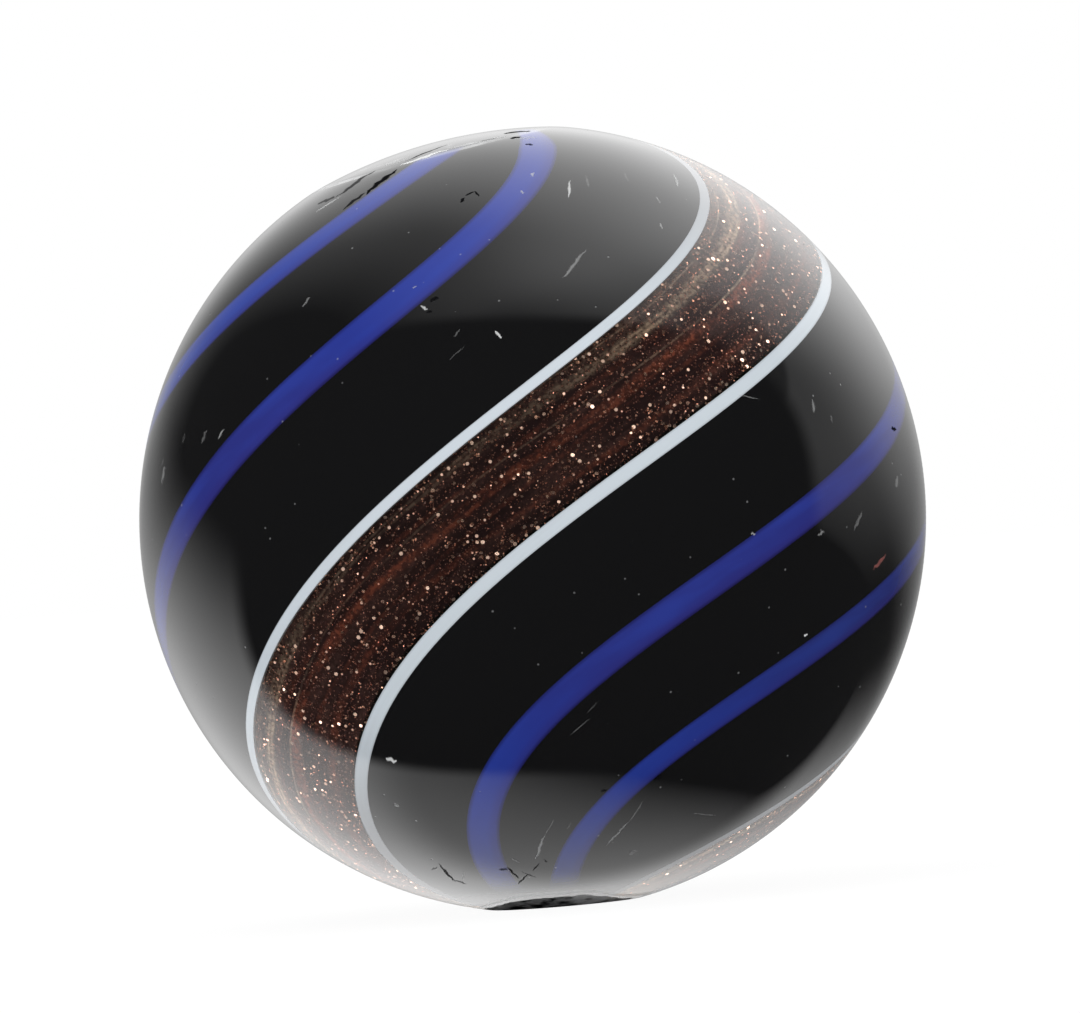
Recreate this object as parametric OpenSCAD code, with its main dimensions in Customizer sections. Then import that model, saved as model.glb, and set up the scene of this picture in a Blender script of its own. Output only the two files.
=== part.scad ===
// Hand-made glass marble: a black ball with coloured strands of glass melted flush into its surface.
// +Z is the axis about which the soft glass was twisted, the marble stands on its ground foot at z = 0,
// and azimuth 0 faces -Y with positive angles towards +X.

/* [Ball] */
// Diameter of the ball
ball_d = 19; // [13:0.5:28]
// Diameter of the flat foot, ground where the ball was cut from its rod
foot_d = 3.6; // [2.4:0.1:5]
// Half-angle of the flattened crown, seen from the centre of the ball
crown_angle = 19; // [14:0.5:24]
// How far the crown is ground down below the full ball
crown_drop = 0.1; // [0.04:0.01:0.2]
// Lean of the crown away from the twist axis, towards -X
crown_lean = 10; // [0:1:14]

/* [Strands] */
// Width of the first two blue strands
blue_w = 0.92; // [0.6:0.02:1.1]
// Width of the third blue strand, which is narrower
third_blue_w = 0.78; // [0.5:0.02:1]
// Width of the fourth blue strand, the thinnest
thin_blue_w = 0.7; // [0.5:0.02:0.9]
// Depth of a blue strand in the glass
blue_depth = 0.4; // [0.2:0.05:0.7]
// Width of the thinner white strand, on the upper edge of each ribbon
upper_white_w = 0.26; // [0.2:0.01:0.36]
// Width of the thicker white strand, on the lower edge of each ribbon
lower_white_w = 0.34; // [0.24:0.01:0.44]
// Depth of a white strand in the glass
white_depth = 0.34; // [0.2:0.02:0.6]
// Depth of an aventurine ribbon in the glass
ribbon_depth = 0.28; // [0.16:0.02:0.5]

/* [Twist] */
// Latitude at which every strand ends, close to the two poles
end_lat = 80; // [78:0.5:81]
// Latitude from which the strands are drawn in and narrow towards the pole
draw_lat = 68; // [62:1:72]
// How many degrees before the white strands a ribbon ends
ribbon_end_gap = 1; // [0.5:0.5:3]
// Lines of each path between its two ends, from coarse to fine
path_steps = 44; // [30:2:60]

// Each path below is an azimuth at mid height in degrees, then the twist from there to the pole,
// the bow that both halves share, and the late twist that grows towards the poles.

/* [Blue paths] */
// Path of the first blue strand, upper left in front
blue_1_path = [-115, 91, 5, 1]; // [-180:1:180]
// Path of the second blue strand
blue_2_path = [-65, 70, 18, -1]; // [-180:1:180]
// Path of the third blue strand, lower right in front
blue_3_path = [48, 122, 35, -17]; // [-180:1:180]
// Path of the fourth blue strand
blue_4_path = [102, 153, 5, -44]; // [-180:1:180]

/* [White paths] */
// Path of the upper edge of the front ribbon
white_1_path = [-26, 75, 21, 16]; // [-180:1:180]
// Path of the lower edge of the front ribbon
white_2_path = [5, 91, 45, 16]; // [-180:1:180]
// Path of the upper edge of the rear ribbon
white_3_path = [157, 94, -27, 19]; // [-180:1:180]
// Path of the lower edge of the rear ribbon
white_4_path = [190, 94, -20, 19]; // [-180:1:210]

/* [Hidden] */
ball_r = ball_d / 2;
// Height of the ball's centre above the foot
centre_z = sqrt(ball_r * ball_r - foot_d * foot_d / 4);
// The crown is part of a larger ball through the same rim
crown_rim_r = ball_r * sin(crown_angle);
crown_rise = ball_r * (1 - cos(crown_angle)) - crown_drop;
crown_r = (crown_rim_r * crown_rim_r + crown_rise * crown_rise) / (2 * crown_rise);
crown_centre = ball_r - crown_drop - crown_r;
ribbon_end_lat = end_lat - ribbon_end_gap;
// Cutters reach this far out of the ball
overcut = 0.3;
round_fn = 240;
// A section is its top, as places across it from edge to edge, and its floor, as such places
// with the share of the full depth there
strand_top = [-1, 1];
blue_floor = [[-1, 0.5], [-0.55, 1], [0.55, 1], [1, 0.5]];
// A white strand has upright walls, for the ribbon beside it to lie against
white_floor = [[-1, 0.85], [0, 1], [1, 0.85]];
// A ribbon is so wide that its top and floor follow the ball in four steps
ribbon_top = [-1, -0.5, 0, 0.5, 1];
ribbon_floor = [for (place = ribbon_top) [place, 1]];

// Azimuth of a path at a latitude
function azimuth(path, lat) =
    path[0] + path[1] * sin(lat) + path[2] * pow(sin(lat), 2) + path[3] * pow(sin(lat), 3);

// Lean of a path from the meridian, as a tangent
function lean(path, lat) =
    (path[1] + 2 * path[2] * sin(lat) + 3 * path[3] * pow(sin(lat), 2)) * pow(cos(lat), 2) * PI / 180;

// Half the angle that a strand of width w covers along its circle of latitude
function half_angle(path, lat, w) =
    w / 2 / (ball_r * max(cos(lat), cos(draw_lat))) * sqrt(1 + pow(lean(path, lat), 2)) * 180 / PI;

// Point at distance r from the centre of the ball
function spot(r, az, lat) = r * [cos(lat) * sin(az), -cos(lat) * cos(az), sin(lat)];

// Azimuth at a place between two others, which are at -1 and 1
function between(left, right, place) = (left + right) / 2 + (right - left) / 2 * place;

// One ring of a cutter between two azimuths: along its top outside the ball, then back along its floor
function ring(left, right, lat, depth, top, floor) = concat(
    [for (place = top) spot(ball_r + overcut, between(left, right, place), lat)],
    [for (i = [len(floor) - 1:-1:0])
        spot(ball_r - depth * floor[i][1], between(left, right, floor[i][0]), lat)]);

// Closed cutter through a stack of rings, in triangles
module sweep(rings) {
    count = len(rings[0]);
    last = (len(rings) - 1) * count;
    sides = [for (k = [0:len(rings) - 2], i = [0:count - 1])
        let (a = k * count + i, b = k * count + (i + 1) % count)
        each [[a, b + count, b], [a, a + count, b + count]]];
    ends = [for (i = [1:count - 2]) each [[0, i, i + 1], [last, last + i + 1, last + i]]];
    polyhedron(points = [for (r = rings) each r], faces = concat(sides, ends), convexity = 8);
}

function latitudes(last) = [for (k = [0:path_steps]) last * (2 * k / path_steps - 1)];

// Cutter of one strand, which keeps its width until it is drawn in near the poles
module strand_cut(path, w, depth, floor) {
    sweep([for (lat = latitudes(end_lat))
        let (mid = azimuth(path, lat), half = half_angle(path, lat, w))
        ring(mid - half, mid + half, lat, depth, strand_top, floor)]);
}

// Form of a ribbon. With a share of 1 it fills the space between its two white strands, and with a share
// of 0 it reaches the middle of both, as the channel for it does
module ribbon_cut(left_path, right_path, share) {
    sweep([for (lat = latitudes(ribbon_end_lat))
        ring(azimuth(left_path, lat) + share * half_angle(left_path, lat, upper_white_w),
            azimuth(right_path, lat) - share * half_angle(right_path, lat, lower_white_w),
            lat, ribbon_depth, ribbon_top, ribbon_floor)]);
}

// Outer form of the whole marble about its centre: a ball with a flattened crown and a flat foot.
// The ball lies on its side, so that its own poles are away from where the strands run together.
module form() {
    intersection() {
        rotate([90, 0, 0])
            sphere(r = ball_r, $fn = round_fn);
        rotate([0, -crown_lean, 0])
            translate([0, 0, crown_centre])
                sphere(r = crown_r, $fn = round_fn);
        translate([-ball_d, -ball_d, -centre_z])
            cube([2 * ball_d, 2 * ball_d, 2 * ball_d]);
    }
}

module blue_cut(path, w) {
    strand_cut(path, w, blue_depth, blue_floor);
}

module white_cut(path, w) {
    strand_cut(path, w, white_depth, white_floor);
}

// Lifts the marble from its own centre onto its foot
module stand() {
    translate([0, 0, centre_z])
        children();
}

module glass_ball() {
    color([0.05, 0.05, 0.055])
        stand() difference() {
            form();
            blue_cut(blue_1_path, blue_w);
            blue_cut(blue_2_path, blue_w);
            blue_cut(blue_3_path, third_blue_w);
            blue_cut(blue_4_path, thin_blue_w);
            white_cut(white_1_path, upper_white_w);
            white_cut(white_2_path, lower_white_w);
            white_cut(white_3_path, upper_white_w);
            white_cut(white_4_path, lower_white_w);
            ribbon_cut(white_1_path, white_2_path, 0);
            ribbon_cut(white_3_path, white_4_path, 0);
        }
}

module blue_strand(path, w) {
    color([0.17, 0.2, 0.55])
        stand() intersection() {
            form();
            blue_cut(path, w);
        }
}

module white_strand(path, w) {
    color([0.85, 0.88, 0.9])
        stand() intersection() {
            form();
            white_cut(path, w);
        }
}

module aventurine_ribbon(left_path, right_path) {
    color([0.3, 0.17, 0.11])
        stand() intersection() {
            form();
            ribbon_cut(left_path, right_path, 1);
        }
}

glass_ball();
blue_strand(blue_1_path, blue_w);  // blue_strand_1
blue_strand(blue_2_path, blue_w);  // blue_strand_2
blue_strand(blue_3_path, third_blue_w);  // blue_strand_3
blue_strand(blue_4_path, thin_blue_w);  // blue_strand_4
white_strand(white_1_path, upper_white_w);  // white_strand_1
white_strand(white_2_path, lower_white_w);  // white_strand_2
white_strand(white_3_path, upper_white_w);  // white_strand_3
white_strand(white_4_path, lower_white_w);  // white_strand_4
aventurine_ribbon(white_1_path, white_2_path);  // aventurine_ribbon_1
aventurine_ribbon(white_3_path, white_4_path);  // aventurine_ribbon_2
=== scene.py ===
import math

import bpy
import numpy as np
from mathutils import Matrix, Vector


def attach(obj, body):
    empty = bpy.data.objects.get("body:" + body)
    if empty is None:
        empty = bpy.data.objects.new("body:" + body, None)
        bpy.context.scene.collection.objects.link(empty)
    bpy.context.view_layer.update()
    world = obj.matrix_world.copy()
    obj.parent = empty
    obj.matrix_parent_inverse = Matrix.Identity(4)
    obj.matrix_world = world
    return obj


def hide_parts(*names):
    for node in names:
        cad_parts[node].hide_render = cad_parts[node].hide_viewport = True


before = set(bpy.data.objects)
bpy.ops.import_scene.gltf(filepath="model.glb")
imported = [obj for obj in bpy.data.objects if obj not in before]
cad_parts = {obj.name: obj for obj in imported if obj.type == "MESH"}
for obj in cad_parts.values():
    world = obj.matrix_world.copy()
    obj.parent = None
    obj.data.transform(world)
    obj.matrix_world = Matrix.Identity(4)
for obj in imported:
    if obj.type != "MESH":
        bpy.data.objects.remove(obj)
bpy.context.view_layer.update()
print("frame loaded with", len(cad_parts), "nodes")

mm = 0.001

# The ball as it was blown, cut off and ground. Lengths in metres, angles in degrees.
marble = {
    "radius": 9.5 * mm,
    "footRadius": 1.8 * mm,
    "crownAngle": 19,  # half-angle of the ground crown
    "crownDrop": 0.1 * mm,
    "crownLean": 10,  # towards -X
    "rimSoftness": 0.02 * mm,  # how far the ground edges are melted round
    "rowPitch": 0.8,
    "finePitch": 0.25,  # near the foot and the strands' ends
    "fineFrom": 76,
    "fineTo": 81,
    "lastRow": 89.2,
}
footDepth = math.sqrt(marble["radius"] ** 2 - marble["footRadius"] ** 2)
centre = np.array([0, 0, footDepth])

# Paths: azimuth at mid height, twist to the pole, bow and late twist, in degrees. Azimuth 0 faces -Y.
blueStrands = {
    "widths": (0.92 * mm, 0.92 * mm, 0.78 * mm, 0.7 * mm),
    "depth": 0.4 * mm,
    "edgeDepth": 0.5,  # share of the full depth at the edges
    "flat": 0.55,  # share of the width that has the full depth
    "columns": 6,
    "endLat": 80,
    "paths": {
        "blue_strand_1": (-115, 91, 5, 1),
        "blue_strand_2": (-65, 70, 18, -1),
        "blue_strand_3": (48, 122, 35, -17),
        "blue_strand_4": (102, 153, 5, -44),
    },
}
whiteStrands = {
    "upperWidth": 0.26 * mm,
    "lowerWidth": 0.34 * mm,
    "depth": 0.34 * mm,
    "edgeDepth": 0.85,
    "flat": 0,
    "columns": 4,
    "endLat": 80,
    "paths": {
        "white_strand_1": (-26, 75, 21, 16),
        "white_strand_2": (5, 91, 45, 16),
        "white_strand_3": (157, 94, -27, 19),
        "white_strand_4": (190, 94, -20, 19),
    },
}
ribbons = {
    "depth": 0.28 * mm,
    "columns": 18,
    "endLat": 79,
    "lap": 0.01 * mm,  # how far the clear glass runs into its neighbours below the surface
    "coreTop": 0.15 * mm,  # depth of the streaked brown glass under the clear glass
    "coreFoot": 0.27 * mm,
    "nodes": ("aventurine_ribbon_1", "aventurine_ribbon_2"),
}
drawLat = 68  # from here to the pole the strands narrow
groundGlassPitch = 1.3  # degrees between columns of the black glass


def azimuth(path, lat):
    height = np.sin(np.radians(lat))
    return path[0] + path[1] * height + path[2] * height ** 2 + path[3] * height ** 3


def halfAngle(path, lat, width):
    height, flat = np.sin(np.radians(lat)), np.cos(np.radians(lat))
    lean = np.radians(path[1] + 2 * path[2] * height + 3 * path[3] * height ** 2) * flat ** 2
    around = marble["radius"] * np.maximum(flat, math.cos(math.radians(drawLat)))
    return np.degrees(width / 2 / around * np.sqrt(1 + lean ** 2))


def direction(az, lat):
    az, lat = np.radians(az), np.radians(lat)
    return np.stack([np.cos(lat) * np.sin(az), -np.cos(lat) * np.cos(az), np.sin(lat)], -1)


def softMin(a, b, softness):
    overlap = np.maximum(softness - np.abs(a - b), 0) / softness
    return np.minimum(a, b) - overlap ** 2 * softness / 4


def outerRadius(ray):
    # distance from the ball's centre to its skin: full ball, ground crown and flat foot
    angle, lean = math.radians(marble["crownAngle"]), math.radians(marble["crownLean"])
    rim = marble["radius"] * math.sin(angle)
    rise = marble["radius"] * (1 - math.cos(angle)) - marble["crownDrop"]
    crownRadius = (rim ** 2 + rise ** 2) / (2 * rise)
    offset = marble["radius"] - marble["crownDrop"] - crownRadius
    along = offset * (ray @ np.array([-math.sin(lean), 0, math.cos(lean)]))
    crown = along + np.sqrt(along ** 2 - offset ** 2 + crownRadius ** 2)
    foot = footDepth / np.maximum(-ray[..., 2], 1e-4)
    skin = softMin(np.full(crown.shape, marble["radius"]), crown, marble["rimSoftness"])
    return softMin(skin, foot, marble["rimSoftness"])


def skinPoint(ray, depth=0.0):
    return ray * (outerRadius(ray) - depth)[..., None] + centre


def skinNormal(ray):
    step = 1e-4
    side = np.cross(ray, np.where(np.abs(ray[..., 2:]) < 0.9, [0, 0, 1.0], [1.0, 0, 0]))
    side /= np.linalg.norm(side, axis=-1, keepdims=True)
    up = np.cross(ray, side)
    around = [skinPoint((ray + d) / np.linalg.norm(ray + d, axis=-1, keepdims=True))
              for d in (side * step, -side * step, up * step, -up * step)]
    normal = np.cross(around[0] - around[1], around[2] - around[3])
    normal /= np.linalg.norm(normal, axis=-1, keepdims=True)
    return normal * np.sign((normal * ray).sum(-1, keepdims=True))


# One net of rows and columns covers the whole ball. Its columns follow the twist, and the edges of every
# strand are columns, so neighbouring glasses share their points.
def rowLatitudes():
    body = marble["fineFrom"]
    rows = list(np.linspace(-body, body, 2 * round(body / marble["rowPitch"]) + 1))
    steps = round((marble["fineTo"] - body) / marble["finePitch"])
    fine = [body + marble["finePitch"] * (k + 1) for k in range(steps)]
    last = list(np.linspace(marble["fineTo"], marble["lastRow"], 9))[1:]
    return np.array([-x for x in reversed(fine + last)] + rows + fine + last)


def strandWidth(name):
    if name in blueStrands["paths"]:
        return blueStrands["widths"][int(name[-1]) - 1]
    return whiteStrands["upperWidth" if name.endswith(("1", "3")) else "lowerWidth"]


def makeZones(lats):
    # every zone: its name (None for black glass), the azimuths of its two edges, and its kit
    strands = [(name, path, strandWidth(name), kit)
               for kit in (blueStrands, whiteStrands) for name, path in kit["paths"].items()]
    strands.sort(key=lambda strand: strand[1][0])
    zones, ribbonNames = [], iter(ribbons["nodes"])
    for k, (name, path, width, kit) in enumerate(strands):
        after = strands[(k + 1) % len(strands)]
        turn = 360 if k == len(strands) - 1 else 0
        left = azimuth(path, lats) - halfAngle(path, lats, width)
        right = azimuth(path, lats) + halfAngle(path, lats, width)
        end = azimuth(after[1], lats) - halfAngle(after[1], lats, after[2]) + turn
        zones.append({"name": name, "left": left, "right": right, "kit": kit, "columns": kit["columns"]})
        ribbonNext = name in ("white_strand_1", "white_strand_3")
        span = float(np.mean(end - right))
        zones.append({
            "name": next(ribbonNames) if ribbonNext else None,
            "left": right, "right": end,
            "kit": ribbons if ribbonNext else None,
            "columns": ribbons["columns"] if ribbonNext else max(4, round(span / groundGlassPitch)),
        })
    start = 0
    for zone in zones:
        zone["first"] = start
        start += zone["columns"]
    return zones, start


lats = rowLatitudes()
zones, columnCount = makeZones(lats)
rowCount = len(lats)
netAz = np.concatenate([
    zone["left"][:, None] + (zone["right"] - zone["left"])[:, None] * np.arange(zone["columns"]) / zone["columns"]
    for zone in zones], axis=1)
netRay = direction(netAz, lats[:, None] * np.ones_like(netAz))
netTop = skinPoint(netRay)
netNormal = skinNormal(netRay)
print("net of", rowCount, "rows and", columnCount, "columns")


def groove(zone):
    # depth of a zone's floor at each of its columns, edges included
    kit, count = zone["kit"], zone["columns"]
    if kit is ribbons:
        return np.full(count + 1, kit["depth"])
    across = np.abs(np.linspace(-1, 1, count + 1))
    drop = np.clip((across - kit["flat"]) / (1 - kit["flat"]), 0, 1)
    return kit["depth"] * (1 - drop * (1 - kit["edgeDepth"]))


def rowsOf(zone):
    inside = np.nonzero(np.abs(lats) <= zone["kit"]["endLat"] + 1e-6)[0]
    return inside[0], inside[-1]


def finishMesh(name, points, faces, smooth, normals, uvs=None):
    # smooth faces take the skin's true normal, the others their own
    used = sorted({index for face in faces for index in face})
    renumber = {index: k for k, index in enumerate(used)}
    mesh = bpy.data.meshes.new(name)
    mesh.from_pydata([tuple(points[index]) for index in used], [],
                     [[renumber[index] for index in face] for face in faces])
    mesh.update()
    corner = []
    for face, isSmooth, polygon in zip(faces, smooth, mesh.polygons):
        polygon.use_smooth = True
        flat = tuple(polygon.normal)
        corner += [tuple(normals[index]) if isSmooth else flat for index in face]
    if uvs is not None:
        layer = mesh.uv_layers.new(name="along")
        flatList = [uvs[index] for face in faces for index in face]
        layer.data.foreach_set("uv", np.array(flatList, dtype=np.float32).ravel())
    mesh.normals_split_custom_set(corner)
    piece = bpy.data.objects.new(name, mesh)
    bpy.context.scene.collection.objects.link(piece)
    return piece


def makeBall():
    level = np.full((rowCount - 1, columnCount), -1)
    depth = np.zeros((rowCount, columnCount))
    for number, zone in enumerate(zones):
        if zone["name"]:
            south, north = rowsOf(zone)
            level[south:north, zone["first"]:zone["first"] + zone["columns"]] = number
            for k, value in enumerate(groove(zone)):
                column = (zone["first"] + k) % columnCount
                depth[:, column] = np.maximum(depth[:, column], value)
    total = rowCount * columnCount
    floor = netRay * (outerRadius(netRay) - depth)[..., None] + centre
    poles = skinPoint(direction(np.zeros(2), np.array([-90.0, 90.0])))
    points = np.concatenate([netTop.reshape(-1, 3), floor.reshape(-1, 3), poles])
    normals = np.concatenate([netNormal.reshape(-1, 3), netNormal.reshape(-1, 3), [[0, 0, -1], [0, 0, 1]]])

    def top(row, column):
        return row * columnCount + column % columnCount

    def low(row, column):
        return total + top(row, column)

    faces, smooth = [], []

    def add(face, isSmooth=False):
        faces.append(face)
        smooth.append(isSmooth)

    for row in range(rowCount - 1):
        for column in range(columnCount):
            here = level[row, column]
            spot = top if here < 0 else low
            add([spot(row, column), spot(row, column + 1), spot(row + 1, column + 1), spot(row + 1, column)], here < 0)
            right = level[row, (column + 1) % columnCount]
            edge = column + 1
            if here < 0 <= right:
                add([top(row + 1, edge), top(row, edge), low(row, edge), low(row + 1, edge)])
            if right < 0 <= here:
                add([top(row, edge), top(row + 1, edge), low(row + 1, edge), low(row, edge)])
            north = level[row + 1, column] if row + 1 < rowCount - 1 else -1
            a, b = (row + 1, column), (row + 1, column + 1)
            if here < 0 <= north:
                add([top(*a), top(*b), low(*b), low(*a)])
            if north < 0 <= here:
                add([top(*b), top(*a), low(*a), low(*b)])
    for column in range(columnCount):
        add([top(0, column + 1), top(0, column), 2 * total], True)
        add([top(rowCount - 1, column), top(rowCount - 1, column + 1), 2 * total + 1], True)
    return finishMesh("blackBall", points, faces, smooth, normals)


def makeInlay(name, zone, topDepth=0.0, footDepths=None, lap=0.0):
    # a closed strip of glass in its groove, from topDepth down to its floor
    south, north = rowsOf(zone)
    rows, columns = north - south + 1, zone["columns"] + 1
    picked = [(zone["first"] + k) % columnCount for k in range(columns)]
    rays = netRay[south:north + 1][:, picked]
    skin = outerRadius(rays)
    floor = groove(zone) if footDepths is None else np.full(columns, footDepths)
    lowRays = rays.copy()
    if lap:
        for edge, inner in ((0, 1), (-1, -2)):
            outward = rays[:, edge] - rays[:, inner]
            outward /= np.linalg.norm(outward, axis=-1, keepdims=True)
            lowRays[:, edge] = rays[:, edge] + outward * lap / marble["radius"]
            lowRays[:, edge] /= np.linalg.norm(lowRays[:, edge], axis=-1, keepdims=True)
    upper = rays * (skin - topDepth)[..., None] + centre
    lower = lowRays * (skin - floor)[..., None] + centre
    total = rows * columns
    points = np.concatenate([upper.reshape(-1, 3), lower.reshape(-1, 3)])
    normals = np.tile(netNormal[south:north + 1][:, picked].reshape(-1, 3), (2, 1))
    middle = rays[:, columns // 2]
    steps = np.linalg.norm(np.diff(middle, axis=0), axis=-1) * marble["radius"]
    along = np.concatenate([[0], np.cumsum(steps)]) / mm
    across = np.linspace(0, 1, columns)
    uv = np.stack(np.broadcast_arrays(across[None, :], along[:, None]), -1).reshape(-1, 2)
    uvs = np.concatenate([uv, uv])

    def top(row, column):
        return row * columns + column

    def low(row, column):
        return total + row * columns + column

    faces, smooth = [], []
    for row in range(rows - 1):
        for column in range(columns - 1):
            faces.append([top(row, column), top(row, column + 1), top(row + 1, column + 1), top(row + 1, column)])
            smooth.append(True)
            faces.append([low(row, column), low(row + 1, column), low(row + 1, column + 1), low(row, column + 1)])
            smooth.append(False)
        last = columns - 1
        faces.append([top(row, 0), top(row + 1, 0), low(row + 1, 0), low(row, 0)])
        faces.append([top(row + 1, last), top(row, last), low(row, last), low(row + 1, last)])
        smooth += [False, False]
    for column in range(columns - 1):
        last = rows - 1
        faces.append([top(0, column + 1), top(0, column), low(0, column), low(0, column + 1)])
        faces.append([top(last, column), top(last, column + 1), low(last, column + 1), low(last, column)])
        smooth += [False, False]
    return finishMesh(name, points, faces, smooth, normals, uvs)


# Shader maths is written as expressions on sockets.
class Signal:
    def __init__(self, shader, socket):
        self.shader, self.socket = shader, socket

    def maths(self, operation, *values):
        return self.shader.add("ShaderNodeMath", {"operation": operation}, dict(enumerate(values)))

    def __add__(self, other):
        return self.maths("ADD", self, other)

    __radd__ = __add__

    def __sub__(self, other):
        return self.maths("SUBTRACT", self, other)

    def __rsub__(self, other):
        return self.maths("SUBTRACT", other, self)

    def __mul__(self, other):
        return self.maths("MULTIPLY", self, other)

    __rmul__ = __mul__

    def __truediv__(self, other):
        return self.maths("DIVIDE", self, other)

    def __lt__(self, other):
        return self.maths("LESS_THAN", self, other)

    def __gt__(self, other):
        return self.maths("GREATER_THAN", self, other)

    def power(self, exponent):
        return self.maths("POWER", self, exponent)

    def top(self, other):
        return self.maths("MAXIMUM", self, other)

    def least(self, other):
        return self.maths("MINIMUM", self, other)

    def size(self):
        return self.maths("ABSOLUTE", self)

    def smooth(self, low, high):
        # 0 below low, 1 above high, or the other way round when low is the larger
        settings = {"interpolation_type": "SMOOTHSTEP"}
        return self.shader.add("ShaderNodeMapRange", settings, {0: self, 1: low, 2: high, 3: 0.0, 4: 1.0})


class Shader:
    def __init__(self, name=None, world=None):
        self.owner = world or bpy.data.materials.new(name)
        self.owner.use_nodes = True
        self.tree = self.owner.node_tree
        self.tree.nodes.clear()

    def add(self, kind, settings=None, inputs=None, output=0):
        node = self.tree.nodes.new(kind)
        for key, value in (settings or {}).items():
            if key == "stops":
                self.setStops(node.color_ramp, value)
            else:
                setattr(node, key, value)
        for key, value in (inputs or {}).items():
            if isinstance(value, Signal):
                self.tree.links.new(value.socket, node.inputs[key])
            else:
                node.inputs[key].default_value = value
        return Signal(self, node.outputs[output]) if len(node.outputs) else node

    def setStops(self, ramp, stops):
        while len(ramp.elements) > 1:
            ramp.elements.remove(ramp.elements[-1])
        for k, (place, colour) in enumerate(stops):
            element = ramp.elements[0] if k == 0 else ramp.elements.new(place)
            element.position = place
            element.color = (*colour, 1)

    def mix(self, amount, first, second):
        # colours only: inputs 6 and 7 are the colour pair of the Mix node, and output 2 is its colour
        first, second = [value if isinstance(value, Signal) else (*value, 1) for value in (first, second)]
        return self.add("ShaderNodeMix", {"data_type": "RGBA"}, {0: amount, 6: first, 7: second}, 2)

    def noise(self, where, scale, detail=2.0, output=0, **more):
        return self.add("ShaderNodeTexNoise", {}, {"Vector": where, "Scale": scale, "Detail": detail, **more}, output)

    def surface(self, glass):
        self.add("ShaderNodeOutputMaterial", {}, {"Surface": glass})
        return self.owner

    def principled(self, **inputs):
        inputs = {key.replace("_", " "): value for key, value in inputs.items()}
        return self.add("ShaderNodeBsdfPrincipled", {}, inputs)


# Sizes of the finish that every glass on the skin shares
finish = {
    "waveScale": 260,  # slow waves of the hand-turned surface, cycles per metre
    "waveHeight": 0.0035 * mm,
    "scuffScale": 1500,
    "speckScale": 1600,  # small pits of wear
    "speckSize": 0.06,
    "speckDepth": 0.006 * mm,
    "rimWidth": 0.005,  # of the chipped rim round the crown, as a difference of cosines
    "rimScale": 1100,
    "gapScale": 330,  # of the stretches in which that rim is whole
    "groundHeight": (0.04 * mm, 0.3 * mm),  # of the foot's matt edge, behind and in front
    "groundFrom": (-2.5 * mm, -0.9 * mm),  # where in X that front part rises
    "groundTo": (1.8 * mm, 0.3 * mm),  # and where it falls again
    "groundUneven": 0.14 * mm,
    "groundScale": 2600,
    "footHighlight": 0.08 * mm,  # height above that edge of the bright rim, a painted highlight
    "footHighlightWidth": 0.1 * mm,
    "footSheen": (0.62 * mm, 0.3 * mm),  # frost with a painted white sheen above it, which has gone at the first height
    "worn": (0.66, 0.67, 0.68),
    # white painted over the foot's rim and the band above it: a painted highlight and painted sheen
    "frostAndSheen": (0.92, 0.92, 0.93),
}


def axes(shader, place):
    return [shader.add("ShaderNodeSeparateXYZ", {}, {0: place}, axis) for axis in range(3)]


def groundEdge(shader, place):
    # height up to which the foot's edge is ground matt: low behind, and highest a little left of the front
    x, y, z = axes(shader, place)
    front = x.smooth(*finish["groundFrom"]) * x.smooth(*finish["groundTo"]) * y.smooth(1.0 * mm, -1.0 * mm)
    low, high = finish["groundHeight"]
    return front * (high - low) + low


def surfaceFinish(shader, gloss):
    # roughness, normal, wear and the foot's frost with its painted highlight and sheen, that every glass shares, all
    # from Object coordinates
    place = shader.add("ShaderNodeTexCoord", {}, {}, 3)
    x, y, height = axes(shader, place)
    waves = shader.noise(place, finish["waveScale"], 1.0)
    scuffs = shader.noise(place, finish["scuffScale"], 4.0)
    chips = shader.noise(place, finish["rimScale"], 5.0)
    cells = {"Vector": place, "Scale": finish["speckScale"]}
    specks = shader.add("ShaderNodeTexVoronoi", {}, cells).smooth(finish["speckSize"], finish["speckSize"] * 0.3)
    lean = math.radians(marble["crownLean"])
    crownAxis = (-math.sin(lean) / marble["radius"], 0, math.cos(lean) / marble["radius"])
    upward = shader.add("ShaderNodeVectorMath", {"operation": "DOT_PRODUCT"}, {0: place, 1: crownAxis}, 1)
    inCrown = upward - (footDepth * crownAxis[2] + math.cos(math.radians(marble["crownAngle"])))
    gaps = shader.noise(place, finish["gapScale"], 2.0).smooth(0.42, 0.6)
    crownRim = inCrown.size().smooth(finish["rimWidth"], finish["rimWidth"] * 0.3) * gaps * chips.smooth(0.35, 0.6) * 0.6
    crownScuff = inCrown.smooth(0.0, 0.01) * scuffs.smooth(0.55, 0.75) * 0.3
    # painted highlight along the rim just above the ground edge, and painted white sheen low on the ball, both also
    # made rough
    above = height - groundEdge(shader, place) + (chips - 0.5) * (0.08 * mm) - finish["footHighlight"]
    footHighlight = above.size().smooth(finish["footHighlightWidth"], 0.0)
    footSheen = height.smooth(*finish["footSheen"]) * (0.15 + chips * 0.3)
    frostAndSheen = footHighlight.top(footSheen)
    wear = crownRim.top(crownScuff)
    roughness = gloss + scuffs.smooth(0.55, 0.8) * 0.03 + specks * 0.3 + wear.top(frostAndSheen) * 0.35
    relief = waves * finish["waveHeight"] - specks * finish["speckDepth"] - wear * chips * (0.02 * mm)
    normal = shader.add("ShaderNodeBump", {}, {"Strength": 1.0, "Distance": 1.0, "Height": relief})
    return roughness, normal, wear.top(specks * 0.2), frostAndSheen, inCrown


def skinGlass(shader, colour, wear, frostAndSheen, roughness, normal):
    # the foot's frost mask paints a white highlight and sheen into the colour
    colour = shader.mix(frostAndSheen, shader.mix(wear, colour, finish["worn"]), finish["frostAndSheen"])
    return shader.principled(Base_Color=colour, Roughness=roughness, IOR=1.5, Normal=normal)


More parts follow.
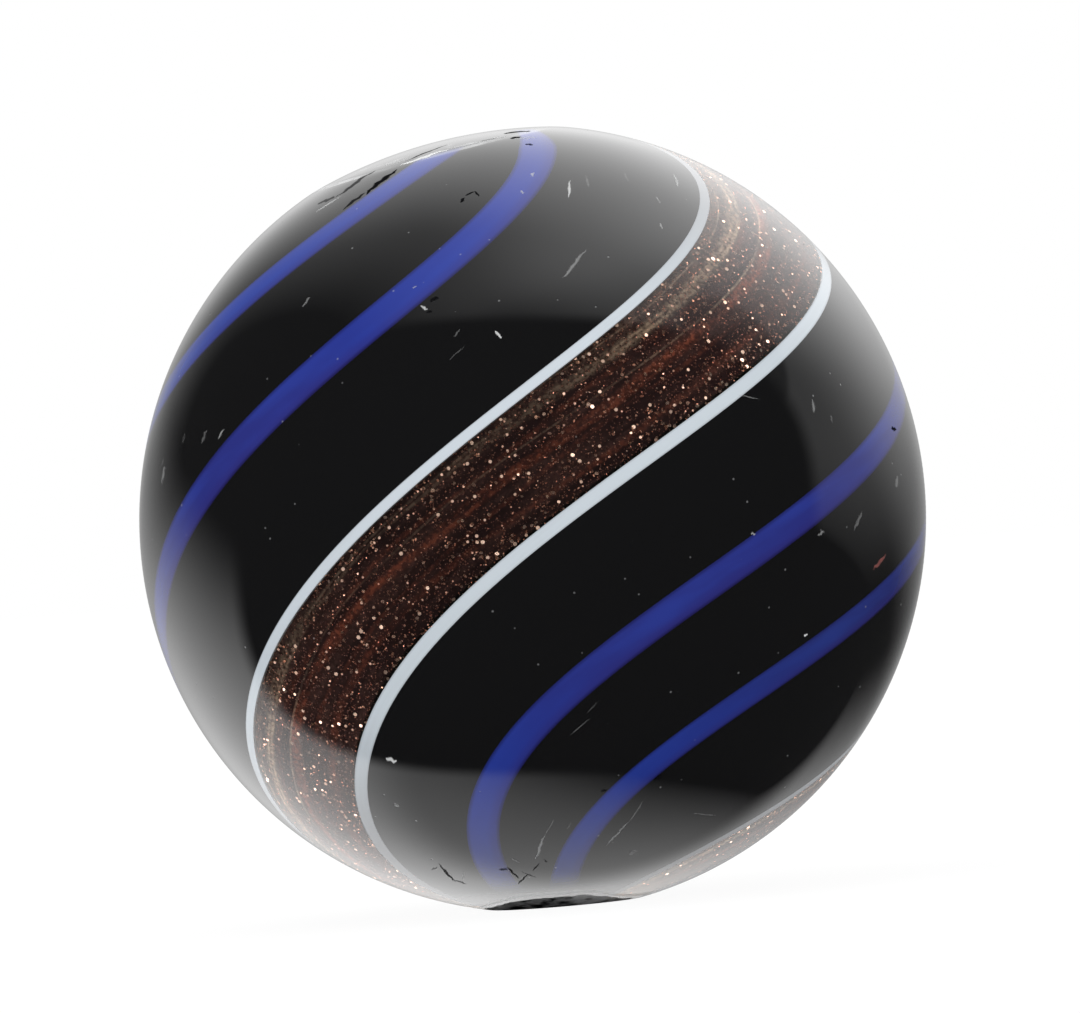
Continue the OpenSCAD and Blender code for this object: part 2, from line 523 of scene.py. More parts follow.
def withFoot(shader, polished):
    # every glass is matt and dark where the foot was ground, up to its broken edge
    place = shader.add("ShaderNodeTexCoord", {}, {}, 3)
    x, y, height = axes(shader, place)
    grain = shader.noise(place, finish["groundScale"], 4.0)
    colour = shader.mix(grain.smooth(0.42, 0.64), (0.02, 0.02, 0.021), (0.5, 0.5, 0.51))
    broken = x.smooth(-0.1 * mm, 0.3 * mm).top(x.smooth(-1.3 * mm, -1.7 * mm))
    colour = shader.mix(broken * grain.smooth(0.25, 0.55), colour, (0.85, 0.85, 0.86))
    normal = shader.add("ShaderNodeBump", {}, {"Strength": 1.0, "Distance": 1.0, "Height": grain * (0.03 * mm)})
    matt = shader.principled(Base_Color=colour, Roughness=0.8, Specular_IOR_Level=0.0, Normal=normal)
    ground = (groundEdge(shader, place) + (grain - 0.5) * finish["groundUneven"] - height).smooth(0.0, 0.03 * mm)
    return shader.surface(shader.add("ShaderNodeMixShader", {}, {0: ground, 1: polished, 2: matt}))


def blackGlass():
    shader = Shader("blackGlass")
    roughness, normal, wear, frostAndSheen, inCrown = surfaceFinish(shader, 0.015)
    return withFoot(shader, skinGlass(shader, (0.0062, 0.0062, 0.0066), wear, frostAndSheen, roughness, normal))


def alongStrand(shader):
    # 0 to 1 across a strand, and millimetres along it
    spot = shader.add("ShaderNodeUVMap", {"uv_map": "along"})
    return [shader.add("ShaderNodeSeparateXYZ", {}, {0: spot}, axis) for axis in (0, 1)]


def stretched(shader, across, along, acrossScale, alongScale, shift=0.0, detail=3.0):
    where = shader.add("ShaderNodeCombineXYZ", {}, {0: across * acrossScale, 1: along * alongScale, 2: shift})
    return shader.noise(where, 1.0, detail)


def blueGlass(name, deep, bright, crownFade):
    # the glass thins out to navy at both edges, turns violet before the lower one, and fades at both ends
    shader = Shader(name)
    roughness, normal, wear, frostAndSheen, inCrown = surfaceFinish(shader, 0.015)
    across, along = alongStrand(shader)
    colour = shader.mix(stretched(shader, across, along, 0.8, 0.22).smooth(0.4, 0.62), deep, bright)
    colour = shader.mix(towardPoles(shader, 0.3, 0.65) * 0.7, colour, (0.02, 0.046, 0.33))
    colour = shader.mix(across.smooth(0.55, 0.9) * 0.4, colour, (0.028, 0.02, 0.15))
    colour = shader.mix(across.smooth(0.86, 1.0) * 0.75, colour, (0.009, 0.006, 0.035))
    colour = shader.mix(across.smooth(0.14, 0.0) * 0.65, colour, (0.01, 0.011, 0.06))
    height = axes(shader, shader.add("ShaderNodeTexCoord", {}, {}, 3))[2]
    gone = (inCrown.smooth(-0.004, 0.008) * crownFade).top(height.smooth(0.9 * mm, 0.45 * mm))
    colour = shader.mix(gone, colour, (0.012, 0.012, 0.013))
    return withFoot(shader, skinGlass(shader, colour, wear, frostAndSheen, roughness, normal))


def towardPoles(shader, start, end):
    # 0 round the middle of the ball, 1 near its two poles
    height = axes(shader, shader.add("ShaderNodeTexCoord", {}, {}, 3))[2]
    return ((height - footDepth) / marble["radius"]).size().smooth(start, end)


def whiteGlass():
    # in front, near the poles, the white is darkened towards grey: painted shade where less light reaches the thread
    shader = Shader("whiteGlass")
    roughness, normal, wear, frostAndSheen, inCrown = surfaceFinish(shader, 0.015)
    across, along = alongStrand(shader)
    drift = stretched(shader, across, along, 3.0, 0.35)
    colour = shader.mix(drift.smooth(0.45, 0.75) * 0.2, (0.605, 0.665, 0.715), (0.5, 0.53, 0.56))
    depth = axes(shader, shader.add("ShaderNodeTexCoord", {}, {}, 3))[1]
    # painted shade: greyer near the poles on the side that faces the front
    paintedLimbShade = towardPoles(shader, 0.42, 0.85) * depth.smooth(2 * mm, -1 * mm)
    colour = shader.mix(paintedLimbShade, colour, (0.3, 0.31, 0.33))
    rim = (across - 0.5).size().smooth(0.34, 0.5)
    colour = shader.mix(rim * 0.45, colour, (0.25, 0.26, 0.28))
    return withFoot(shader, skinGlass(shader, colour, wear, frostAndSheen, roughness, normal))


def clearGlass():
    shader = Shader("clearAmberGlass")
    roughness, normal = surfaceFinish(shader, 0.045)[:2]
    return withFoot(shader, shader.principled(
        Base_Color=(1.0, 0.95, 0.88, 1), Roughness=roughness, IOR=1.5, Transmission_Weight=1.0, Normal=normal))


# Streaks drawn out along the ribbon: place across it, width, strength and the shift of their wobble
streaks = {
    "ground": (0.0285, 0.0155, 0.016),
    "haze": (0.075, 0.04, 0.036),
    "rust": (0.27, 0.078, 0.046),
    "tan": (0.48, 0.37, 0.27),
    "pale": (0.33, 0.3, 0.27),
    "rustLines": ((0.45, 0.075, 1.0, 1.0), (0.78, 0.05, 0.5, 5.0), (0.26, 0.035, 0.4, 9.0), (0.62, 0.03, 0.35, 13.0)),
    "tanLines": ((0.05, 0.01, 0.7, 17.0), (0.15, 0.016, 1.0, 17.0), (0.19, 0.02, 1.0, 17.0), (0.39, 0.014, 0.8, 1.0)),
    "tanBand": (0.17, 0.075, 0.02),  # middle of the band that holds them, and where it ends and is full
    "tanMiddle": 0.3,  # what is left of those lines round the middle of the ball
    "tanDrift": 0.09,  # how much closer to the edge they lie there
    "specks": (0.4, 0.17, 0.12),
    "speckScale": 19000,
    "grainScale": 9000,  # the streaks are made of fine grains
}


def coreGlass():
    shader = Shader("streakedBrownGlass")
    across, along = alongStrand(shader)
    place = shader.add("ShaderNodeTexCoord", {}, {}, 3)
    grain = shader.noise(place, streaks["grainScale"], 3.0).smooth(0.4, 0.62)
    haze = stretched(shader, across, along, 7.0, 0.3)
    colour = shader.mix(haze.smooth(0.42, 0.68) * (0.4 + grain * 0.6), streaks["ground"], streaks["haze"])
    poles = towardPoles(shader, 0.25, 0.6)
    band, *bandEdge = streaks["tanBand"]
    drawn = across + (1 - towardPoles(shader, 0.1, 0.5)) * streaks["tanDrift"]
    spread = towardPoles(shader, 0.0, 0.6) * ((drawn - band).size().smooth(*bandEdge) + across.smooth(0.2, 0.0) * 0.3)
    colour = shader.mix(spread * (0.08 + grain * 0.42), colour, streaks["tan"])
    nearPoles = (streaks["tanMiddle"] + poles * (1 - streaks["tanMiddle"])) * (0.4 + grain * 0.6)
    for lines, tint, where, part, sway in (("rustLines", "rust", across, 0.25 + grain * 0.75, 0.35),
                                           ("tanLines", "tan", drawn, nearPoles, 0.12)):
        for middle, width, strength, shift in streaks[lines]:
            wobble = stretched(shader, across, along, 0.0, 0.12, shift, 2.0)
            broken = stretched(shader, across, along, 14.0, 0.5, shift).smooth(0.25, 0.7)
            line = (where + (wobble - 0.5) * sway - middle).size().smooth(width, width * 0.25)
            colour = shader.mix(line * broken * part * strength, colour, streaks[tint])
    cell = {"Vector": place, "Scale": streaks["speckScale"]}
    chance = shader.add("ShaderNodeSeparateColor", {}, {0: shader.add("ShaderNodeTexVoronoi", {}, cell, 1)})
    dots = shader.add("ShaderNodeTexVoronoi", {}, cell).smooth(0.42, 0.2) * chance.smooth(0.55, 1.0)
    colour = shader.mix(dots * 0.8, colour, streaks["specks"])
    colour = shader.mix(towardPoles(shader, 0.84, 0.98) * 0.55, colour, streaks["pale"])
    colour = shader.mix(across.smooth(0.955, 0.985), colour, (0.006, 0.007, 0.006))
    return shader.surface(shader.principled(Base_Color=colour, Roughness=0.7, Specular_IOR_Level=0.0))


def copperFlake():
    shader = Shader("copperFlake")
    tone = shader.add("ShaderNodeAttribute", {"attribute_name": "flakeToneAndGlint"}, {}, 2)
    # random tone from dark red-brown to pale, partly a painted glint: pale flakes stand in for ones catching the light
    stops = [(0.0, (0.2, 0.07, 0.045)), (0.3, (0.5, 0.21, 0.14)), (0.7, (0.92, 0.52, 0.38)),
             (1.0, (1.0, 0.74, 0.6))]
    colour = shader.add("ShaderNodeValToRGB", {"stops": stops}, {0: tone})
    return shader.surface(shader.principled(Base_Color=colour, Metallic=1.0, Roughness=0.26))


# Copper platelets in the clear glass, scattered by Geometry Nodes over three sheets at different depths
flakes = {
    "depths": (0.05 * mm, 0.08 * mm, 0.115 * mm),
    "perSquareMm": 78,
    "smallest": 0.015 * mm,
    "largest": 0.054 * mm,
    "skew": 5.0,  # the higher, the fewer large ones
    "thinness": 0.12,
    "sides": 6,
    "tilt": 0.75,  # radians either way from lying flat
    "seed": 7,
    "dustPerSquareMm": 80,
    "dustSides": 3,
    "dustSmallest": 0.006 * mm,
    "dustLargest": 0.017 * mm,
}


def sheetAt(name, zone, depth):
    # an open sheet inside a ribbon, only used to scatter on
    south, north = rowsOf(zone)
    picked = [(zone["first"] + k) % columnCount for k in range(zone["columns"] + 1)]
    points = skinPoint(netRay[south:north + 1][:, picked], depth)
    rows, columns = points.shape[:2]
    faces = [[r * columns + c, r * columns + c + 1, (r + 1) * columns + c + 1, (r + 1) * columns + c]
             for r in range(rows - 1) for c in range(columns - 1)]
    mesh = bpy.data.meshes.new(name)
    mesh.from_pydata([tuple(p) for p in points.reshape(-1, 3)], [], faces)
    # more flakes at the ribbon's edges, and few where it thins out at its ends
    share = 0.55 + 0.7 * np.abs(np.linspace(-1, 1, columns))[None, :]
    share = share * np.clip((ribbons["endLat"] - np.abs(lats[south:north + 1])) / 18, 0.12, 1)[:, None]
    layer = mesh.attributes.new("flakeShare", "FLOAT", "POINT")
    layer.data.foreach_set("value", share.ravel().astype(np.float32))
    sheet = bpy.data.objects.new(name, mesh)
    bpy.context.scene.collection.objects.link(sheet)
    return sheet


def flakeTree(material):
    tree = bpy.data.node_groups.new("scatterFlakes", "GeometryNodeTree")
    tree.interface.new_socket("Geometry", in_out="INPUT", socket_type="NodeSocketGeometry")
    for label in ("Density", "Smallest", "Largest", "Skew", "Thinness", "Tilt"):
        tree.interface.new_socket(label, in_out="INPUT", socket_type="NodeSocketFloat")
    tree.interface.new_socket("Sides", in_out="INPUT", socket_type="NodeSocketInt")
    tree.interface.new_socket("Seed", in_out="INPUT", socket_type="NodeSocketInt")
    tree.interface.new_socket("Geometry", in_out="OUTPUT", socket_type="NodeSocketGeometry")

    def node(kind, settings=None, inputs=None):
        made = tree.nodes.new(kind)
        for key, value in (settings or {}).items():
            setattr(made, key, value)
        for key, value in (inputs or {}).items():
            if isinstance(value, bpy.types.NodeSocket):
                tree.links.new(value, made.inputs[key])
            else:
                made.inputs[key].default_value = value
        return made

    given = node("NodeGroupInput").outputs
    share = node("GeometryNodeInputNamedAttribute", {"data_type": "FLOAT"}, {"Name": "flakeShare"}).outputs[0]
    density = node("ShaderNodeMath", {"operation": "MULTIPLY"}, {0: share, 1: given["Density"]}).outputs[0]
    points = node("GeometryNodeDistributePointsOnFaces", {},
                  {"Mesh": given["Geometry"], "Density": density, "Seed": given["Seed"]})
    # random tone per flake, partly a painted glint
    tone = node("FunctionNodeRandomValue", {"data_type": "FLOAT"}, {"Seed": given["Seed"]}).outputs[1]
    toned = node("GeometryNodeStoreNamedAttribute", {"data_type": "FLOAT", "domain": "POINT"},
                 {"Geometry": points.outputs["Points"], "Name": "flakeToneAndGlint", "Value": tone})
    disc = node("GeometryNodeMeshCylinder", {}, {"Vertices": given["Sides"], "Radius": 1.0, "Depth": given["Thinness"]})
    tilts = node("ShaderNodeCombineXYZ", {}, {0: given["Tilt"], 1: given["Tilt"], 2: math.pi})
    negative = node("ShaderNodeVectorMath", {"operation": "SCALE"}, {0: tilts.outputs[0], "Scale": -1.0})
    turn = node("FunctionNodeRandomValue", {"data_type": "FLOAT_VECTOR"},
                {0: negative.outputs[0], 1: tilts.outputs[0], "Seed": given["Seed"]}).outputs[0]
    lying = node("FunctionNodeRotateEuler", {"space": "LOCAL"},
                 {"Rotation": points.outputs["Rotation"], "Rotate By": turn}).outputs[0]
    chance = node("FunctionNodeRandomValue", {"data_type": "FLOAT"}, {"Seed": given["Seed"]}).outputs[1]
    skewed = node("ShaderNodeMath", {"operation": "POWER"}, {0: chance, 1: given["Skew"]}).outputs[0]
    size = node("ShaderNodeMapRange", {}, {0: skewed, 3: given["Smallest"], 4: given["Largest"]}).outputs[0]
    placed = node("GeometryNodeInstanceOnPoints", {},
                  {"Points": toned.outputs[0], "Instance": disc.outputs["Mesh"], "Rotation": lying, "Scale": size})
    real = node("GeometryNodeRealizeInstances", {}, {0: placed.outputs[0]})
    coated = node("GeometryNodeSetMaterial", {}, {"Geometry": real.outputs[0], "Material": material})
    node("NodeGroupOutput", {}, {0: coated.outputs[0]})
    return tree


def bakeNodes(carrier, name, tree, values):
    modifier = carrier.modifiers.new("grow", "NODES")
    modifier.node_group = tree
    for item in tree.interface.items_tree:
        if item.in_out == "INPUT" and item.name in values:
            modifier[item.identifier] = values[item.name]
    bpy.context.view_layer.update()
    mesh = bpy.data.meshes.new_from_object(carrier.evaluated_get(bpy.context.evaluated_depsgraph_get()))
    mesh.name = name
    carrier.modifiers.remove(modifier)
    made = bpy.data.objects.new(name, mesh)
    bpy.context.scene.collection.objects.link(made)
    bpy.data.meshes.remove(carrier.data)  # and the carrier with it
    return made


def joinPieces(pieces, name):
    bpy.ops.object.select_all(action="DESELECT")
    for piece in pieces:
        piece.select_set(True)
    bpy.context.view_layer.objects.active = pieces[0]
    bpy.ops.object.join()
    pieces[0].name = pieces[0].data.name = name
    return pieces[0]


def scatterFlakes(zone, tree, order):
    parts = []
    for layer, depth in enumerate(flakes["depths"]):
        sets = (("flake", flakes["perSquareMm"], flakes["smallest"], flakes["largest"], flakes["sides"]),
                ("dust", flakes["dustPerSquareMm"], flakes["dustSmallest"], flakes["dustLargest"],
                 flakes["dustSides"]))
        for kind, (label, perSquareMm, smallest, largest, sides) in enumerate(sets):
            sheet = sheetAt(label, zone, depth)
            parts.append(bakeNodes(sheet, label, tree, {
                "Density": perSquareMm / mm ** 2 / len(flakes["depths"]),
                "Smallest": smallest, "Largest": largest, "Skew": flakes["skew"],
                "Thinness": flakes["thinness"], "Tilt": flakes["tilt"],
                "Sides": sides, "Seed": flakes["seed"] + 20 * order + 2 * layer + kind}))
    return joinPieces(parts, f"copperFlakes{order + 1}")


# Marks of wear, as they lie on this marble: azimuth and latitude in degrees, length and width in millimetres, turn
# from the parallel in degrees, and for the frosted ones how white they are
marks = {
    "stations": 0.2,  # a mark gets one more section for each such length, in millimetres
    "rise": 0.004 * mm,
    "sink": 0.02 * mm,
    "jitter": 0.16,
    "seed": 11,
    "raggedScale": 7000,
    "toneCurve": 1.7,
    "frostAndSheen": [
        (-29, -34.3, 0.29, 0.23, 150, 0.85), (16.1, 54.2, 0.8, 0.12, 71, 0.75),
        (21.7, 55.7, 0.6, 0.11, 74, 0.3), (33.4, 56.2, 0.47, 0.1, 69, 0.3),
        (48.1, 54.6, 0.78, 0.13, 51, 0.6), (36.2, 49.9, 0.32, 0.1, 70, 0.4),
        (32.1, 44.2, 0.22, 0.1, 82, 0.5), (11.6, 38.3, 1.12, 0.15, 48, 0.4),
        (-9.5, 28.1, 0.27, 0.1, 51, 0.25), (-2.9, 27.3, 0.26, 0.12, 118, 0.8),
        (-9.5, 25, 0.52, 0.05, 41, 0.25), (-39.3, 35.8, 0.31, 0.15, 69, 0.35),
        (-51.6, 16.1, 0.32, 0.14, 56, 0.5), (-56.1, 16, 0.36, 0.21, 68, 0.25),
        (-62.3, 16.1, 0.26, 0.23, 77, 0.15), (-68.7, 11.1, 0.44, 0.32, 70, 0.35),
        (47.3, 12.6, 0.35, 0.17, 76, 0.4), (66.4, 0.8, 0.34, 0.26, 63, 0.35),
        (53.9, -4.3, 0.59, 0.22, 52, 0.3), (45.3, -5.6, 0.24, 0.14, 27, 0.4),
        (50.7, 10.5, 0.18, 0.15, 69, 0.25), (43.7, -20.2, 0.13, 0.12, 176, 1),
        (35.1, 14.7, 0.66, 0.05, 165, 0.35), (-5.3, -54.6, 1.11, 0.11, 71, 0.6),
        (-2.2, -49.9, 0.58, 0.08, 65, 0.35), (13.6, -52.9, 1.07, 0.1, 64, 0.5),
        (16.8, -48.3, 0.78, 0.07, 73, 0.35), (19.7, -58.3, 0.23, 0.28, 50, 0.35),
        (34.6, -50.4, 0.89, 0.07, 166, 0.3), (-32.9, -42.9, 0.14, 0.17, 175, 0.5),
        (2.1, -50, 0.27, 0.08, 68, 0.3), (4.8, -31.3, 0.66, 0.05, 41, 0.3),
        (7, -28.2, 0.41, 0.04, 45, 0.25), (-69.3, 12.9, 0.19, 0.23, 81, 0.2),
        (-15.3, 32.8, 0.23, 0.12, 140, 0.7), (4.4, 54.3, 0.17, 0.12, 84, 0.5),
        (8.4, 58.8, 0.2, 0.12, 80, 0.55), (-17.4, 36.6, 0.1, 0.12, 174, 0.4),
        (32.6, -4.8, 0.14, 0.12, 176, 0.5), (-53.1, 56.4, 0.79, 0.2, 55, 0.6),
        (-32.2, 68.7, 1.3, 0.43, 42, 0.95), (-14.2, 72.9, 1.11, 0.29, 22, 0.7),
        (-45.1, 68.1, 0.68, 0.5, 23, 0.45), (-0.7, 75, 0.36, 0.3, 21, 0.6), (13.2, 73, 0.53, 0.4, 174, 0.4),
        (-31, -61, 0.5, 0.08, 60, 0.4), (-12.6, -57.5, 0.3, 0.07, 120, 0.4),
    ],
    "dark": [
        (-35.4, -59.8, 1.06, 0.15, 78, 0.8), (-35, -62.9, 0.41, 0.14, 118, 0.7), (-37.6, -58.2, 0.3, 0.1, 20, 0.6),
        (-15.2, -61.2, 0.69, 0.13, 99, 0.85), (-13.4, -63.6, 0.69, 0.1, 54, 0.8), (-17.3, -59.8, 0.22, 0.16, 171, 0.7),
        (-10.8, -62.2, 0.5, 0.08, 125, 0.6), (-7.7, -59.9, 0.46, 0.08, 59, 0.75), (-4.6, -58.4, 0.2, 0.08, 100, 0.6),
        (9.2, -43.2, 0.15, 0.13, 173, 0.8), (-10.1, 53.6, 0.21, 0.14, 75, 0.95), (-8.5, 55.1, 0.28, 0.12, 35, 0.95),
        (-6.7, 54.9, 0.29, 0.09, 110, 0.9),
        (-13.6, 34.1, 0.23, 0.19, 31, 0.9), (-14.3, 32, 0.15, 0.12, 174, 0.8), (68.8, 8.4, 0.36, 0.16, 179, 0.9),
        (19.8, -41.7, 0.18, 0.2, 173, 0.8), (-42.7, 56.3, 0.75, 0.26, 68, 0.8), (-39.2, 61.2, 1.23, 0.4, 81, 0.95),
        (-56.4, 57.5, 0.56, 0.32, 24, 0.6), (-51.6, 61.7, 1.3, 0.38, 82, 0.7), (-35.3, 71.1, 1.25, 0.19, 66, 0.75),
        (12.5, 77.8, 0.68, 0.42, 177, 0.8), (8.3, 73.7, 0.29, 0.29, 1, 0.9), (12.2, 69.6, 0.21, 0.21, 141, 0.8),
        (-6.5, 74, 0.51, 0.14, 28, 0.6),
    ],
    "red": [(60.2, -10.5, 0.7, 0.2, 27, 0.85)],
}


def makeMarks(kind):
    # slim lenses that follow the skin: a ridge on top, two edges and a keel
    points, faces, tones, bodies = [], [], [], []
    random = np.random.default_rng(marks["seed"])
    for az, lat, length, width, turn, *tone in marks[kind]:
        ray, east = direction(az, lat), np.array([math.cos(math.radians(az)), math.sin(math.radians(az)), 0])
        north = np.cross(ray, east)
        along = east * math.cos(math.radians(turn)) + north * math.sin(math.radians(turn))
        across = np.cross(ray, along)
        count = 5 + math.ceil(length / marks["stations"])
        power = 1.0 if length > 2.2 * width else 0.5
        first = len(points)
        for k in range(count):
            step = -math.cos(math.pi * k / (count - 1))
            half = width / 2 * (1 - step ** 2) ** power * (1 + marks["jitter"] * random.uniform(-1, 1))
            sway = width * marks["jitter"] * random.uniform(-1, 1)
            for side, lift in ((1, 0), (0, marks["rise"]), (-1, 0), (0, -marks["sink"])):
                reach = (along * step * length / 2 + across * (side * half + sway)) * mm / marble["radius"]
                spot = (ray + reach) / np.linalg.norm(ray + reach)
                fade = 1 if 0 < k < count - 1 else 0
                points.append(skinPoint(spot, -lift * fade))
                bodies.append(float(fade and not side))
            if k:
                a, b = first + 4 * (k - 1), first + 4 * k
                faces += [[a + i, a + (i + 1) % 4, b + (i + 1) % 4, b + i] for i in range(4)]
        faces += [[first + 3, first + 2, first + 1, first], [b, b + 1, b + 2, b + 3]]
        tones += (tone or [1.0]) * (len(points) - first)
    mesh = bpy.data.meshes.new(kind + "Marks")
    mesh.from_pydata([tuple(point) for point in points], [], faces)
    for label, values in (("markTone", tones), ("markBody", bodies)):
        layer = mesh.attributes.new(label, "FLOAT", "POINT")
        layer.data.foreach_set("value", np.array(values, dtype=np.float32))
    piece = bpy.data.objects.new(kind + "Marks", mesh)
    bpy.context.scene.collection.objects.link(piece)
    return piece


def markMaterial(name, colour, full, roughness, specular):
    # a ragged mark that fades out towards its edges
    shader = Shader(name)
    tone = shader.add("ShaderNodeAttribute", {"attribute_name": "markTone"}, {}, 2)
    body = shader.add("ShaderNodeAttribute", {"attribute_name": "markBody"}, {}, 2)
    place = shader.add("ShaderNodeTexCoord", {}, {}, 3)
    ragged = shader.noise(place, marks["raggedScale"], 4.0)
    shape = (body * 1.25 - ragged).smooth(-0.2, full)
    return shader.surface(shader.principled(
        Base_Color=(*colour, 1), Roughness=roughness, Specular_IOR_Level=specular,
        Alpha=shape * tone.power(marks["toneCurve"])))


def dress(piece, materials, slot, *nodes):
    for material in materials:
        if material.name not in piece.data.materials:
            piece.data.materials.append(material)
    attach(piece, "root")
    if nodes:
        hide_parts(*nodes)
    return piece


# The glasses
dress(makeBall(), [blackGlass()], "black_glass", "glass_ball")
print("black ball made")
blue = blueGlass("blueGlass", (0.024, 0.03, 0.205), (0.026, 0.042, 0.27), 0.5)
paleBlue = blueGlass("paleBlueGlass", (0.017, 0.038, 0.24), (0.02, 0.055, 0.32), 1.0)
darkBlue = blueGlass("darkBlueGlass", (0.02, 0.026, 0.15), (0.022, 0.038, 0.21), 0.5)
white, clear, core, copper = whiteGlass(), clearGlass(), coreGlass(), copperFlake()
tree = flakeTree(copper)
for zone in zones:
    name = zone["name"]
    if name in blueStrands["paths"]:
        glass = {"1": paleBlue, "4": darkBlue}.get(name[-1], blue)
        dress(makeInlay("blueStrand" + name[-1], zone), [glass], "blue_glass", name)
    elif name in whiteStrands["paths"]:
        dress(makeInlay("whiteStrand" + name[-1], zone), [white], "white_glass", name)
    elif name:
        order = ribbons["nodes"].index(name)
        slot = "aventurine_glass"
        dress(makeInlay("clearRibbon" + name[-1], zone, lap=ribbons["lap"]), [clear], slot, name)
        dress(makeInlay("ribbonCore" + name[-1], zone, ribbons["coreTop"], ribbons["coreFoot"]), [core], slot)
        dress(scatterFlakes(zone, tree, order), [copper], slot)
        print(name, "made with its flakes")
dress(makeMarks("frostAndSheen"), [markMaterial("frostedMark", (0.8, 0.81, 0.81), 0.5, 0.4, 0.5)], "black_glass")
dress(makeMarks("dark"), [markMaterial("darkMark", (0.006, 0.006, 0.007), 0.35, 0.8, 0.0)], "black_glass")
dress(makeMarks("red"), [markMaterial("redMark", (0.26, 0.08, 0.07), 0.3, 0.3, 0.5)], "black_glass")
print("marks of wear made")

# The photographer's table: a white floor in a white room. Reflections see soft light panels round the ball and a
# large dark card in front of it. Each panel: azimuth and elevation of its middle, the angle from there at which
# it has faded out, the angle up to which it is even, and its level. A panel below 0 darkens.
studio = {
    "floorSize": 3.0,
    "floorGlow": 0.95,  # what the floor gives the camera even in shadow
    "floorVeil": 0.07,
    "roomLevel": 0.03,
    "panels": {
        "ceiling": (-179.5, 61.5, 65.9, 0, 1.86),
        "wallRight": (104.9, 43.6, 61.5, 30.9, 0.51),
        "tableLeft": (-142.1, -54.4, 68.4, 14.2, 2.12),
        "windowBack": (156.1, 37.2, 53.6, 18.9, 0.7),
        "shadeRight": (81.4, 33.7, 16.4, 13.5, -0.36),
        "shadeLeft": (-147.9, 58.8, 53.2, 0, -1.3),
        "shadeFront": (57.5, -66.8, 67.0, 49.3, -0.98),
    },
    "cardX": -0.015,  # the dark card's middle and half sizes, as seen in the ball, in ball radii
    "cardY": -0.067,
    "cardHalfWidth": 0.72,
    "cardHalfHeight": 0.565,
    "cardCorner": 3,  # exponent of its rounded outline
    "cardEdge": (0.93, 1.13),
    "softLevel": 0.86,  # what falls on coloured glass, on average
    "softFront": 0.18,  # how much more comes from the front, and less from behind
    "throughLevel": 0.6,  # what falls on the flakes in the clear glass beside the panels
    "throughPanels": 3.0,
}


def makeFloor():
    mesh = bpy.data.meshes.new("floor")
    half = studio["floorSize"] / 2
    mesh.from_pydata([(-half, -half, 0), (half, -half, 0), (half, half, 0), (-half, half, 0)], [], [[0, 1, 2, 3]])
    floor = bpy.data.objects.new("floor", mesh)
    bpy.context.scene.collection.objects.link(floor)
    shader = Shader("whiteTable")
    isCamera = shader.add("ShaderNodeLightPath", {}, {}, "Is Camera Ray")
    isGlossy = shader.add("ShaderNodeLightPath", {}, {}, "Is Glossy Ray")
    isThrough = shader.add("ShaderNodeLightPath", {}, {}, "Is Transmission Ray")
    white = shader.add("ShaderNodeBsdfDiffuse", {}, {"Color": (0.85, 0.85, 0.85, 1)})
    veil = shader.add("ShaderNodeBsdfDiffuse", {}, {"Color": (*[studio["floorVeil"]] * 3, 1)})
    glow = shader.add("ShaderNodeEmission", {}, {"Strength": studio["floorGlow"]})
    seen = shader.add("ShaderNodeAddShader", {}, {0: veil, 1: glow})
    mirrored = shader.add("ShaderNodeBsdfTransparent")
    surface = shader.add("ShaderNodeMixShader", {}, {0: isCamera, 1: white, 2: seen})
    surface = shader.add("ShaderNodeMixShader", {}, {0: isGlossy.top(isThrough), 1: surface, 2: mirrored})
    shader.add("ShaderNodeOutputMaterial", {}, {"Surface": surface})
    mesh.materials.append(shader.owner)


# The photograph's view: a long lens level with the ball, turned so that the crown leans left
view = {
    "photoWidth": 1080,
    "photoHeight": 1013,
    "ballX": 532.7,  # centre of the ball in the photograph, in pixels
    "ballY": 519.0,
    "ballPixels": 393.5,
    "distance": 26,  # in ball radii
    "roll": 5,
    "sensor": 36.0,
}


